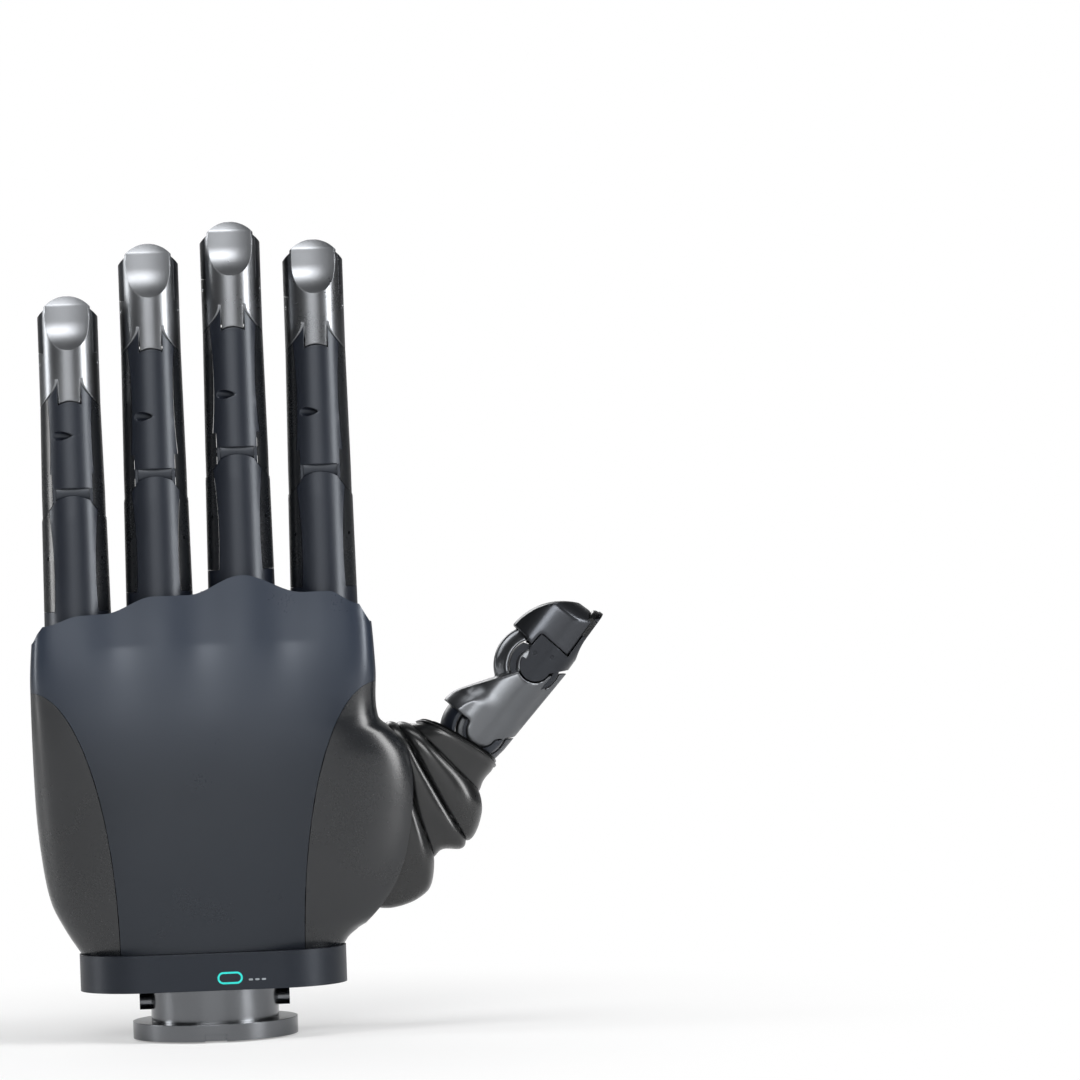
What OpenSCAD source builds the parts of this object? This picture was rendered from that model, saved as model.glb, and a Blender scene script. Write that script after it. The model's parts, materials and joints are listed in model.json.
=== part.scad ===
/* [Fingers] */
// Distance between neighbouring finger axes
finger_pitch = 21.7; // [21:0.1:23]
// Width of a finger at its tip and end joint
tip_w = 15.8; // [15.2:0.1:16.4]
// Width of a finger at its middle joint
mid_w = 16.6; // [16.4:0.1:17.2]
// Width of a finger at its knuckle
root_w = 17.8; // [17.2:0.1:18.4]
// Extra depth of a finger towards the palm, beyond its width
belly = 3.4; // [2.6:0.1:4]
// Knuckle to middle joint
proximal_len = 43; // [40:0.5:46]
// Middle joint to end joint of the three long fingers
middle_len = 38.5; // [34:0.5:42]
// Middle joint to end joint of the little finger
little_len = 29.8; // [28:0.2:34]
// End joint to the end of a fingertip
tip_len = 21.9; // [20:0.1:24]
// Height of the index finger's knuckle pin above the wrist face
index_z = 105.6; // [104:0.1:107]
// Height of the middle finger's knuckle pin above the wrist face
middle_z = 110.9; // [109:0.1:112]
// Height of the ring finger's knuckle pin above the wrist face
ring_z = 105.8; // [104:0.1:107]
// Height of the little finger's knuckle pin above the wrist face
little_z = 101.4; // [100:0.1:103]
// How far the finger axes lie behind the wrist axis
finger_back = 2; // [1:0.1:3]

/* [Fingertips] */
// Width of the scooped nail
nail_w = 12.2; // [11:0.1:13]
// Length of the scooped nail
nail_len = 14.3; // [12:0.1:16]
// Depth of the scoop at the end of the nail
nail_depth = 2.4; // [1.6:0.1:2.8]
// Depth of the thumb nail's scoop
thumb_nail_depth = 1.4; // [1:0.1:2]
// Metal left under the nail
nail_plate = 1.2; // [0.9:0.1:1.6]
// Diameter of the black cap roll at the end of the nail
cap_d = 2.6; // [2:0.1:3]

/* [Finger hinges] */
// Diameter of the finger hinge pins
pin_d = 2.5; // [2:0.1:3]
// Diameter of the knuckle pins
knuckle_pin_d = 4; // [3:0.1:5]
// Radial play of a bore that turns on its pin
pin_play = 0.04; // [0.02:0.01:0.08]
// Width of the tongue in the middle of a hinge
tongue_w = 5.6; // [4.8:0.1:6.2]
// Half width over the two ears of a hinge
ear_x = 5.2; // [4.9:0.05:5.4]
// Play between faces that turn past each other
gap = 0.3; // [0.25:0.05:0.4]
// Metal or plastic between an ear and the round outside it
skin = 1.8; // [1.6:0.1:2.1]
// How far the tongue's round reaches past the back of the finger
tongue_out = 1.7; // [1:0.1:2.2]
// How far below the pin the lip over a middle joint ends
lip_top = 0.9; // [0.6:0.1:1.5]
// Width of the lip
lip_w = 8.8; // [8:0.2:9.2]
// Height of the band between the lip and the link above
lip_band = 2.1; // [1.2:0.1:2.6]
// Seam between a shell and its cover
seam = 0.08; // [0.05:0.01:0.15]
// Half width of the boss at a finger's root
boss_x = 7; // [6.6:0.1:7.4]
// Radius of the frame's ears beside a knuckle
knuckle_ear_r = 6.4; // [6:0.1:7]

/* [Thumb] */
// Width of the thumb
thumb_w = 16.4; // [15.8:0.1:17]
// Extra depth of the thumb towards the fingers, beyond its width
thumb_belly = 3.8; // [3:0.1:4.2]
// First hinge to end joint of the thumb
thumb_len = 22.5; // [21:0.1:25]
// Lean of the thumb away from the palm's long axis
thumb_lean = 41.5; // [38:0.5:45]
// Bend of the thumb's end joint at rest
thumb_bend = 3.2; // [0:0.2:5]
// Distance of the thumb's swing axis from the palm's middle, at the height of its first hinge
swing_x = 50; // [49:0.1:51]
// Distance of the thumb's first hinge from the palm's middle
thumb_x = 73; // [72:0.1:75]
// Height of the thumb's first hinge above the wrist face
thumb_z = 77.6; // [76:0.1:79]
// How far the thumb's plane lies in front of the wrist axis, on the palm's side
thumb_front = 5; // [4.5:0.1:6]
// Tilt of the swing axis, its top away from the palm
swing_tilt = 10; // [8:0.5:12]
// Diameter of the swing shaft
swing_d = 5; // [4:0.1:6]

/* [Palm] */
// From the outer fingers' middles to the sides of the palm at the knuckles (mm)
palm_margin = 13.05; // [12.6:0.05:14]
// Depth of the palm behind the wrist axis
palm_back = 16; // [15.5:0.1:17]
// Depth of the palm in front of the wrist axis
palm_front = 18.5; // [17.5:0.1:20]
// Wall of the palm's shells
palm_wall = 1.8; // [1.4:0.1:2.2]
// Reach of the thumb's mound past the palm's middle
mound_x = 56; // [55:0.1:57]
// Depth of the soft ripples between the knuckles
ripple = 0.9; // [0:0.1:1.2]

/* [Wrist] */
// Width of the wrist cuff
cuff_w = 70.4; // [68:0.2:74]
// Depth of the wrist cuff
cuff_d = 36; // [34:0.2:38]
// Height of the wrist cuff
cuff_h = 9.7; // [8:0.1:11]
// Diameter of the wrist flange
flange_d = 43.5; // [42:0.1:46]
// Thickness of the wrist flange
flange_t = 4.4; // [4:0.1:5]
// Diameter of the neck between the flange and the cuff
neck_d = 33.7; // [32:0.1:35]
// Length of the neck between the flange and the cuff
neck_h = 8.6; // [8:0.1:10]
// Width of the key notch in the flange
notch_w = 5.7; // [5:0.1:7]
// Diameter of the cable bore through the wrist
wrist_bore_d = 16; // [14:0.1:18]
// Diameter of the two bayonet pins
bayonet_d = 4.5; // [4:0.1:5]
// Reach of the bayonet pins from the wrist axis
bayonet_x = 19.8; // [19.2:0.1:20.4]
// Diameter of the circle of wrist screws
bolt_circle_d = 25; // [24:0.1:27]
// Diameter of the tapped holes for the wrist screws
bolt_d = 2.5; // [2:0.1:3]

/* [Hidden] */
$fn = 64;
FAR = 140;
LITTLE = 0;
RING = 1;
MIDDLE = 2;
INDEX = 3;
shell_blue = "#3a3f4a";
panel_grey = "#4a4c4e";
gunmetal = "#77787a";
pad_grey = "#565759";
cap_black = "#0c0c0d";
steel = "#8b8d90";

knuckle_z = [little_z, ring_z, middle_z, index_z];
function finger_x(f) = (f - 1.5) * finger_pitch;
function middle_length(f) = f == LITTLE ? little_len : middle_len;

// Radii of a finger hinge, from the outside in
tip_r = tip_w / 2;
wing_r = tip_r - 0.9;
ear_r = wing_r - gap - skin;
tongue_r = tip_r + tongue_out;
web_y = wing_r * 0.64;
pin_r = pin_d / 2;
pin_cover = 1;
root_r = root_w / 2;
// Opening of the hinges on the palm's side, above and below the pin
knuckle_open = 42;
middle_open = 45;
end_open_above = 28;
end_open_below = 32;
dome_r = 17.5;

module both() {
    children();
    mirror([1, 0, 0]) children();
}
// A disc on the hinge axis
module disc(r, x0, x1) {
    translate([x0, 0, 0]) rotate([0, 90, 0]) cylinder(r = r, h = x1 - x0);
}
module above(z) {
    translate([-FAR, -FAR, z]) cube([2 * FAR, 2 * FAR, 2 * FAR]);
}
// All that lies further back than y
module behind(y) {
    translate([-FAR, y - 2 * FAR, -FAR]) cube([2 * FAR, 2 * FAR, 2 * FAR]);
}
// Openings on the palm's side of a hinge, for the link above and the link below
module open_above(a) {
    rotate([a, 0, 0]) translate([-FAR, 0, -FAR]) cube([2 * FAR, FAR, FAR]);
}
module open_below(a) {
    rotate([-a, 0, 0]) translate([-FAR, 0, 0]) cube([2 * FAR, FAR, FAR]);
}
// A limb of stadium section: a round back and a round front, deep apart.
// side lists [half width, height] from the bottom to the top.
module limb(side, deep) {
    last = len(side) - 1;
    half = concat([[0, side[0][1]]], side, [[0, side[last][1]]]);
    whole = concat(side, [for (i = [last:-1:0]) [-side[i][0], side[i][1]]]);
    mirror([0, 1, 0]) rotate_extrude(angle = 180) polygon(half);
    translate([0, deep, 0]) rotate_extrude(angle = 180) polygon(half);
    translate([0, deep, 0]) rotate([90, 0, 0]) linear_extrude(deep) polygon(whole);
}

// ---- Hinges: the link below carries two ears, the link above a tongue and two wings ----

// What the link below leaves free for the link above
module hinge_room(open, tongue = tongue_r) {
    above(-gap / 2);
    both() disc(wing_r + gap, ear_x, FAR);
    intersection() {
        disc(wing_r + gap, -FAR, FAR);
        behind(-web_y);
    }
    disc(tongue + gap, -tongue_w / 2 - gap, tongue_w / 2 + gap);
    disc(pin_r, -ear_x, ear_x);
    open_below(open);
}
module ears() {
    both() difference() {
        disc(ear_r, tongue_w / 2 + gap, ear_x);
        disc(pin_r, 0, FAR);
    }
}
module ear_room() {
    both() disc(ear_r + gap, tongue_w / 2, ear_x + gap);
}
// What the link above keeps of its form: its body, the wings, the skin over the ears, the tongue
module upper_keep(open, tongue = tongue_r) {
    difference() {
        above(gap / 2);
        open_above(open);
        ear_room();
    }
    both() disc(wing_r, ear_x + gap, FAR);
    difference() {
        intersection() {
            disc(wing_r, -ear_x - gap, ear_x + gap);
            behind(-web_y - gap);
        }
        ear_room();
    }
    disc(tongue, -tongue_w / 2, tongue_w / 2);
}
// Bore for the pin: through the tongue, blind in the wings
module hinge_bore() {
    disc(pin_r + pin_play, -ear_x - gap - pin_cover, ear_x + gap + pin_cover);
}
module hinge_pin() {
    color(steel) disc(pin_r, -ear_x - gap - pin_cover + gap, ear_x + pin_cover);
}

// The middle joint: the link below reaches over the tongue in a curved lip, and the link above
// stands back from it, which bares a band of the tongue, with a window beside each end
lip_tongue = wing_r - 0.1 - gap;
module lip_keep() {
    lip_edge_r = 9;
    translate([0, 0, -lip_top - lip_edge_r]) {
        rotate([90, 0, 0]) cylinder(r = lip_edge_r, h = 2 * FAR, center = true);
        translate([-FAR, -FAR, -2 * FAR]) cube([2 * FAR, 2 * FAR, 2 * FAR]);
    }
}
module lip_room() {
    difference() {
        translate([-lip_w / 2, -FAR, -FAR]) cube([lip_w, FAR - web_y / 2, FAR + lip_band - lip_top]);
        disc(lip_tongue, -FAR, FAR);
    }
}
module windows() {
    window_r = 0.65;
    window_x = ear_x - 0.1;
    both() translate([window_x, 0.5 - wing_r, 0]) rotate([90, 0, 0]) {
        translate([0, -2.4]) cylinder(r = window_r, h = wing_r);
        translate([-window_r, -2.4, 0]) cube([2 * window_r, 2.9, wing_r]);
        translate([0, 0.5]) cylinder(r = window_r, h = wing_r);
    }
}

// ---- Phalanges ----

// The sides of a link, outside a seam that bulges gently towards the middle of the finger
module cheek_region(len, grow, foot) {
    seam_r = 150;
    cheek_x = 5.5;
    both() intersection() {
        translate([seam_r + cheek_x - grow, 0, len / 2]) rotate([90, 0, 0])
            cylinder(r = seam_r, h = 2 * FAR, center = true, $fn = 256);
        above(foot);
    }
    if (foot < 0) both() translate([ear_x + gap / 2 - grow, -FAR, foot]) cube([FAR, 2 * FAR, ear_r - foot]);
}

function middle_side(f) = [[mid_w / 2, -tongue_r - 1], [mid_w / 2, 0],
    [tip_r, middle_length(f) - wing_r], [tip_r, middle_length(f) + 1]];
module middle_link(f) {
    top = middle_length(f);
    difference() {
        intersection() {
            limb(middle_side(f), belly);
            upper_keep(middle_open, lip_tongue);
        }
        lip_room();
        windows();
        translate([0, 0, top]) hinge_room(end_open_below);
        hinge_bore();
    }
    translate([0, 0, top]) ears();
}
// Pocket of the cover screw, drilled nearly flat through the back, which leaves a teardrop mouth
module slant_pocket() {
    pocket_r = 1.2;
    pocket_slant = 10;
    pocket_z = 15;
    translate([-3.8, 0.7 - mid_w / 2 + 0.1, pocket_z]) rotate([0, 0, pocket_slant])
        rotate([0, -90, 0]) translate([0, 0, -6]) cylinder(r = pocket_r, h = 20);
}
module middle_shell(f) color(shell_blue) difference() {
    middle_link(f);
    cheek_region(middle_length(f), seam, -FAR);
    slant_pocket();
}
module middle_covers(f) color(panel_grey) difference() {
    intersection() {
        middle_link(f);
        cheek_region(middle_length(f), 0, -FAR);
    }
    slant_pocket();
}

// The root of a finger: a boss between the ears of the frame
proximal_side = [[root_r, -root_r], [root_r, 0], [mid_w / 2 + 0.2, proximal_len - wing_r],
    [mid_w / 2, proximal_len + 1]];
cover_foot = root_r + 3;
module root_keep() {
    difference() {
        above(gap / 2);
        open_above(knuckle_open);
        both() disc(knuckle_ear_r + gap, boss_x, FAR);
    }
    disc(root_r, -boss_x, boss_x);
}
module proximal_link() {
    difference() {
        intersection() {
            limb(proximal_side, belly);
            root_keep();
            translate([0, 0, proximal_len]) lip_keep();
        }
        translate([0, 0, proximal_len]) hinge_room(middle_open, lip_tongue);
        disc(knuckle_pin_d / 2 + pin_play, -FAR, FAR);
    }
    translate([0, 0, proximal_len]) ears();
}
module proximal_shell() color(shell_blue) difference() {
    proximal_link();
    cheek_region(proximal_len, seam, cover_foot - seam);
}
module proximal_covers() color(panel_grey) difference() {
    intersection() {
        proximal_link();
        cheek_region(proximal_len, 0, cover_foot);
    }
    both() translate([root_r - 2.4, -4.6, proximal_len * 0.6]) rotate([90, 0, 60]) cylinder(r = 0.5, h = 6);
}

// ---- Fingertips ----

function tip_side(w) = [[w / 2, -tongue_r - 1], [w / 2, tip_len]];
// Round end of the tip: outline of the pad from the front, and of the nail
module tip_front(w, nail) {
    shoulder_r = 10;
    nail_end_r = 8;
    rotate([90, 0, 0]) linear_extrude(2 * FAR, center = true) {
        translate([0, tip_len - 1.4 - shoulder_r]) circle(shoulder_r, $fn = 96);
        translate([-w, -2 * FAR]) square([2 * w, 2 * FAR + tip_len - 1.4 - shoulder_r]);
        if (nail) intersection() {
            translate([0, tip_len - nail_end_r]) circle(nail_end_r, $fn = 96);
            translate([-nail_w / 2, 0]) square([nail_w, tip_len]);
        }
    }
}
// Side view of the tip: a straight back and a quarter round towards the palm
module tip_dome(w) {
    centre_z = tip_len - dome_r;
    rotate([90, 0, 90]) linear_extrude(2 * FAR, center = true) {
        intersection() {
            translate([1.4 - w / 2, centre_z]) circle(dome_r, $fn = 128);
            translate([-w / 2, 0]) square(2 * FAR);
        }
        translate([-w / 2, -FAR]) square([FAR, FAR + centre_z]);
    }
}
module tip_form(w, deep, nail) intersection() {
    limb(tip_side(w), deep);
    tip_dome(w);
    tip_front(w, nail);
}
// The scoop of the nail runs down in a round and then on, level with the finger's back
module nail_scoop(w, depth) {
    scoop_r = 14;
    floor_y = depth - w / 2;
    foot_z = tip_len - nail_len;
    run = sqrt(scoop_r * scoop_r - (scoop_r - depth) * (scoop_r - depth));
    translate([0, floor_y - scoop_r, foot_z + run]) disc(scoop_r, -FAR, FAR);
    translate([-FAR, floor_y - FAR, foot_z + run]) cube([2 * FAR, FAR, FAR]);
}
// The soft pad: all in front of the nail plate and above the zigzag seam of the cheeks
module pad_region(w, depth, grow) {
    back = depth + nail_plate - w / 2 - grow;
    rotate([90, 0, 90]) linear_extrude(2 * FAR, center = true) polygon([
        [back, FAR], [back, 7 - grow], [3.7, 7.8 - grow], [4.1 - grow, 3.9 - grow],
        [6.5, 3.1 - grow], [FAR, 3.1 - grow], [FAR, FAR]]);
}
module cap_roll(w, depth, grow) {
    roll = cap_d / 2;
    end_r = 8;
    translate([0, depth + roll + 0.25 - w / 2, tip_len - end_r]) intersection() {
        rotate([90, 0, 0]) rotate_extrude($fn = 96) translate([end_r - roll - 0.3, 0]) circle(roll + grow);
        translate([-nail_w / 2 + 0.4 - grow, -FAR, 0]) cube([nail_w - 0.8 + 2 * grow, 2 * FAR, FAR]);
    }
}
module tip_keep(thumb) {
    if (thumb) {
        difference() {
            thumb_upper_keep();
            rotate([90, 0, 90]) linear_extrude(2 * FAR, center = true) polygon(cowl_edge);
        }
        disc(thumb_tongue, -tongue_w / 2, tongue_w / 2);
    }
    else upper_keep(end_open_above);
}
module tip_link(w, deep, depth, thumb = false) color(gunmetal) difference() {
    intersection() {
        tip_form(w, deep, true);
        tip_keep(thumb);
    }
    pad_region(w, depth, seam);
    nail_scoop(w, depth);
    cap_roll(w, depth, seam);
    hinge_bore();
    cheek_screw_holes();
}
module cheek_screw_holes() {
    screw_r = 0.55;
    for (spot = [[-2.2, 4.4], [2.2, 0.6 + wing_r - ear_r]])
        both() translate([0, spot[0], spot[1]]) disc(screw_r, tip_r - 1, FAR);
}
module pulp_pad(w, deep, depth, thumb = false) color(pad_grey) difference() {
    intersection() {
        tip_form(w, deep, false);
        pad_region(w, depth, 0);
        tip_keep(thumb);
    }
    cap_roll(w, depth, seam);
}
module tip_cap(w, depth) color(cap_black) cap_roll(w, depth, 0);

// ---- Placing the finger parts ----

module at_knuckle(f) {
    translate([finger_x(f), -finger_back, knuckle_z[f]]) children();
}
module at_middle(f) {
    at_knuckle(f) translate([0, 0, proximal_len]) children();
}
module at_end(f) {
    at_middle(f) translate([0, 0, middle_length(f)]) children();
}

// ---- Thumb ----

thumb_r = thumb_w / 2;
neck_r = 6.2;
thumb_turn = 50;
hub_top = -3;
hub_foot = -15;
hub_r = 6.4;
lug_r = 4.6;
thumb_wing_r = 4.2;
thumb_tongue = lip_tongue;
// The rounded knuckle that the link above slides over: inner and outer radius, half width
knuckle_in = thumb_tongue + 0.4;
hood_wall = 1.6;
knuckle_out = thumb_r + thumb_belly + 0.7 - hood_wall - gap;
knuckle_half = 6;
knuckle_crown_r = 7.6;
knuckle_rise = 34;
hood_rise = 40;
// Lower edge of the thumb's pad over the knuckle, as y and z from the pin
cowl_edge = [[3.2, 0], [3.2, 0.8], [4.1, 3.7], [7, 4.8], [13, 5.6], [13, 0]];
// Where the heel behind the pin ends: its edge slopes at 45 degrees
heel_y = 4.2;

// x runs along the thumb's pins, y towards its pad, z to its tip
module at_thumb() {
    translate([thumb_x, thumb_front, thumb_z]) rotate([0, thumb_lean, 0]) rotate([0, 0, 90]) children();
}
module at_thumb_end() {
    at_thumb() translate([0, 0, thumb_len]) rotate([-thumb_bend, 0, 0]) children();
}
module at_swing() {
    translate([swing_x, thumb_front, thumb_z]) rotate([0, swing_tilt, 0]) children();
}
// A ring sector round the pin with a crowned rim; 0 degrees points to the pad, 90 to the tip
module thumb_knuckle(grow, from, to) {
    rotate([0, 90, 0]) rotate(from + 90) rotate_extrude(angle = to - from) intersection() {
        translate([knuckle_out - knuckle_crown_r, 0]) circle(knuckle_crown_r + grow, $fn = 96);
        translate([knuckle_in - grow / 2, -knuckle_half - grow])
            square([knuckle_out, 2 * (knuckle_half + grow)]);
    }
}
// All below the sloping edge of the heel
module heel(lift) {
    translate([0, lift - heel_y, 0]) rotate([-45, 0, 0])
        translate([-FAR, -FAR, -2 * FAR]) cube([2 * FAR, 2 * FAR, 2 * FAR]);
}
// What the link below keeps of its form at a thumb hinge
module thumb_lower_keep() difference() {
    union() {
        mirror([0, 0, 1]) above(gap / 2);
        intersection() {
            heel(0);
            behind(0);
        }
    }
    disc(thumb_tongue + gap, -tongue_w / 2 - gap, tongue_w / 2 + gap);
    intersection() {
        disc(thumb_tongue + gap, -ear_x - gap, ear_x + gap);
        behind(-web_y);
    }
    both() disc(thumb_wing_r + gap, ear_x, FAR);
    disc(pin_r, -ear_x, ear_x);
    open_below(thumb_turn + 7);
}
module thumb_lower_hinge(foot) {
    thumb_knuckle(0, foot, knuckle_rise);
    ears();
}
// What the link above keeps of its form at a thumb hinge
module thumb_hood() intersection() {
    thumb_knuckle(gap + hood_wall, -5, hood_rise);
    above(gap / 2);
}
module thumb_upper_keep() {
    difference() {
        above(gap / 2);
        intersection() {
            heel(gap * 1.4);
            behind(-heel_y / 2);
        }
        ear_room();
        thumb_knuckle(gap, -100, knuckle_rise + thumb_turn + 7);
    }
    both() disc(thumb_wing_r, ear_x + gap, FAR);
    difference() {
        intersection() {
            disc(thumb_tongue, -ear_x - gap, ear_x + gap);
            behind(-web_y - gap);
        }
        ear_room();
    }
    disc(thumb_tongue, -tongue_w / 2, tongue_w / 2);
}
module thumb_base() color(shell_blue) difference() {
    union() {
        at_thumb() {
            intersection() {
                limb([[neck_r, -20], [neck_r, -8], [thumb_r - 0.4, -4], [thumb_r, 0], [thumb_r, 5]],
                    thumb_belly);
                thumb_lower_keep();
            }
            thumb_lower_hinge(-100);
        }
        at_swing() translate([0, 0, hub_foot]) cylinder(r = hub_r, h = hub_top - hub_foot);
    }
    at_thumb() disc(pin_r, -ear_x, ear_x);
    at_swing() translate([0, 0, -FAR]) cylinder(r = swing_d / 2 + pin_play, h = 2 * FAR);
    at_swing() translate([0, 0, hub_top]) cylinder(r = lug_r + 1.2, h = 8);
    at_swing() translate([0, 0, hub_foot - FAR]) cylinder(r = hub_r + gap, h = FAR);
}
module thumb_proximal_shell() color(pad_grey) at_thumb() difference() {
    union() {
        intersection() {
            union() {
                limb([[thumb_r, -thumb_tongue - 1], [thumb_r, thumb_len + 5]], thumb_belly);
                thumb_hood();
            }
            thumb_upper_keep();
            translate([0, 0, thumb_len]) thumb_lower_keep();
        }
        translate([0, 0, thumb_len]) thumb_lower_hinge(-78);
    }
    hinge_bore();
}
module swing_shaft() color(steel) at_swing() translate([0, 0, hub_foot - 6])
    cylinder(r = swing_d / 2, h = hub_top - hub_foot + 10.5);

// ---- Smooth tables: rows of [place, value] ----

function row_of(t, x, i = 0) = i >= len(t) - 2 || x < t[i + 1][0] ? i : row_of(t, x, i + 1);
function slope(t, i) = let (a = max(i - 1, 0), b = min(i + 1, len(t) - 1))
    (t[b][1] - t[a][1]) / (t[b][0] - t[a][0]);
// A smooth curve through all rows
function curve(t, x) = let (
        c = max(t[0][0], min(x, t[len(t) - 1][0])),
        i = row_of(t, c),
        h = t[i + 1][0] - t[i][0],
        u = (c - t[i][0]) / h)
    (2 * pow(u, 3) - 3 * u * u + 1) * t[i][1] + (pow(u, 3) - 2 * u * u + u) * h * slope(t, i)
    + (3 * u * u - 2 * pow(u, 3)) * t[i + 1][1] + (pow(u, 3) - u * u) * h * slope(t, i + 1);
// Level at each row, with soft steps between them
function steps(t, x) = let (
        c = max(t[0][0], min(x, t[len(t) - 1][0])),
        i = row_of(t, c),
        u = (c - t[i][0]) / (t[i + 1][0] - t[i][0]))
    t[i][1] + (t[i + 1][1] - t[i][1]) * u * u * (3 - 2 * u);

// Rings of equal point count joined into a closed solid
module loft(rings) {
    m = len(rings[0]);
    n = len(rings);
    polyhedron(
        points = [for (ring = rings) each ring],
        faces = concat(
            [[for (j = [0:m - 1]) j]],
            [for (i = [0:n - 2], j = [0:m - 1]) let (k = (j + 1) % m, a = i * m, b = a + m)
                [a + j, b + j, b + k, a + k]],
            [[for (j = [m - 1:-1:0]) (n - 1) * m + j]]),
        convexity = 8);
}

// ---- Thumb boot: pleats that fan out round the root of the thumb ----

boot_wall = 1.2;
boot_points = 26;
boot_between = 3;
// Each row: inner x, z and outer x, z of a ring in the thumb's plane, its back and its front
boot_rows = [
    [38.4, 80.6, 38.4, 33, -5.4, 12.6],
    [43.5, 80.8, 45, 33.6, -5.5, 14],
    [46.5, 81, 56, 35.5, -5.9, 16],
    [48.5, 81.1, 60, 46.5, -5.3, 15.4],
    [50, 81, 66, 46.6, -5.7, 16.5],
    [52, 81.2, 72, 57, -6, 17],
    [53.8, 80.8, 73.2, 64.5, -5.6, 16.4],
    [54.3, 80.7, 76.6, 67.3, -6.4, 17],
    [55, 81.7, 77.1, 68.4, -6.2, 16.8]];
function boot_value(t, k) = let (
        rows = [for (i = [0:len(boot_rows) - 1]) [i, boot_rows[i][k]]],
        last = len(rows) - 1,
        near = 0.01)
    t < 0 ? curve(rows, 0) + (curve(rows, near) - curve(rows, 0)) * t / near :
    t > last ? curve(rows, last) + (curve(rows, last) - curve(rows, last - near)) * (t - last) / near :
    curve(rows, t);
function boot_ring(t, inset) = let (
        ax = boot_value(t, 0) + swing_x - 50,
        az = boot_value(t, 1) + thumb_z - 77.6,
        bx = boot_value(t, 2) + thumb_x - 73,
        bz = boot_value(t, 3) + thumb_z - 77.6,
        back = boot_value(t, 4) + inset,
        front = boot_value(t, 5) + thumb_front - 5 - inset,
        span = norm([bx - ax, bz - az]),
        half = 0.5 - inset / span)
    [for (j = [0:boot_points - 1]) let (
            a = 360 * j / boot_points,
            c = sign(cos(a)) * pow(abs(cos(a)), 0.72),
            s = sign(sin(a)) * pow(abs(sin(a)), 0.72))
        [(ax + bx) / 2 + (bx - ax) * half * c, (back + front) / 2 + (front - back) / 2 * s,
            (az + bz) / 2 + (bz - az) * half * c]];
module boot_form(inset, start, end) {
    last = (len(boot_rows) - 1) * boot_between;
    loft([for (i = [0:last]) boot_ring(start + (end - start) * i / last, inset)]);
}
module thumb_boot() color(pad_grey) difference() {
    boot_form(0, 0, len(boot_rows) - 1);
    boot_form(boot_wall, -0.2, len(boot_rows) - 0.8);
}

// ---- Palm shells ----

palm_z = flange_t + neck_h + cuff_h;
side_z = (little_z + index_z) / 2;
palm_top = max(knuckle_z) + 12.5;
// Wall between the back of the shells and the palm cover, and the rim of the thumb's mound
split_y = 4;
mound_rim_y = thumb_front - 11.8;
edge_rise = 10.7;
palm_edge_drop = 12.6;
clear = 0.1;

palm_half_w = 1.5 * finger_pitch + palm_margin;
// Half width of the palm on the little finger's side and on the thumb's side
left_side = [[palm_z, -11], [palm_z + 6, -7.2], [palm_z + 14, -3.4], [palm_z + 27, -1.2],
    [palm_z + 41, -0.2], [side_z - 10, 0], [side_z + 2, -0.8], [side_z + 8, -1.6], [palm_top, -2.4]];
mound = mound_x - palm_half_w;
right_side = [[palm_z, -11], [palm_z + 3, mound - 19], [palm_z + 8, mound - 11], [palm_z + 20, mound - 3],
    [palm_z + 37, mound], [thumb_z - 5, mound - 1.6], [thumb_z + 1.2, mound - 6], [thumb_z + 5, 0.2],
    [side_z - 8, -0.2], [side_z + 3, -0.8], [side_z + 9, -1.4], [palm_top, -2.2]];
back_depth = [[palm_z, -1], [palm_z + 25, 0], [palm_z + 50, -0.2], [side_z - 9, -1.2],
    [side_z + 8, -2], [palm_top, -2.3]];
front_depth = [[palm_z, -2.4], [palm_z + 22, -0.4], [palm_z + 46, 0], [palm_z + 66, -1.2], [palm_top, -5]];
// How square the section is: 2 is an ellipse
squareness = [[palm_z, 2.6], [palm_z + 40, 2.8], [side_z - 16, 4.8], [side_z, 8], [palm_top, 9]];

palm_rings = 24;
back_points = 26;
side_points = 5;
front_points = 12;
// Ridges over the knuckles, valleys between them, fading out down the back of the hand
function ripple_at(x, z) = let (fade = max(0, min(1, (z - side_z + 24) / 24)))
    abs(x) > 1.5 * finger_pitch ? 0 : ripple * fade * fade * (1 - cos(360 * (x / finger_pitch + 0.5))) / 2;
// Points spread round a square, from the thumb's side over the front to the back
square_ring = concat(
    [for (i = [0:side_points - 1]) [1, 2 * i / side_points - 1]],
    [for (i = [0:front_points - 1]) [1 - 2 * i / front_points, 1]],
    [for (i = [0:side_points - 1]) [-1, 1 - 2 * i / side_points]],
    [for (i = [0:back_points - 1]) [2 * i / back_points - 1, -1]]);
function palm_point(s, z, inset) = let (
        n = curve(squareness, z),
        p = s / pow(pow(abs(s[0]), n) + pow(abs(s[1]), n), 1 / n),
        side = palm_half_w + curve(s[0] > 0 ? right_side : left_side, z) - inset,
        back = palm_back + curve(back_depth, z) - inset,
        front = palm_front + curve(front_depth, z) - inset,
        x = side * p[0])
    [x, p[1] * (p[1] > 0 ? front : back - ripple_at(x, z)), z];
module palm_form(inset) {
    foot = palm_z + clear - (inset > 0 ? 1 : 0);
    rise = palm_top - foot + (inset > 0 ? 1 : 0);
    loft([for (i = [0:palm_rings]) let (z = foot + rise * i / palm_rings)
        [for (s = square_ring) palm_point(s, z, inset)]]);
}
module palm_shell() difference() {
    palm_form(0);
    palm_form(palm_wall);
}
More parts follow.
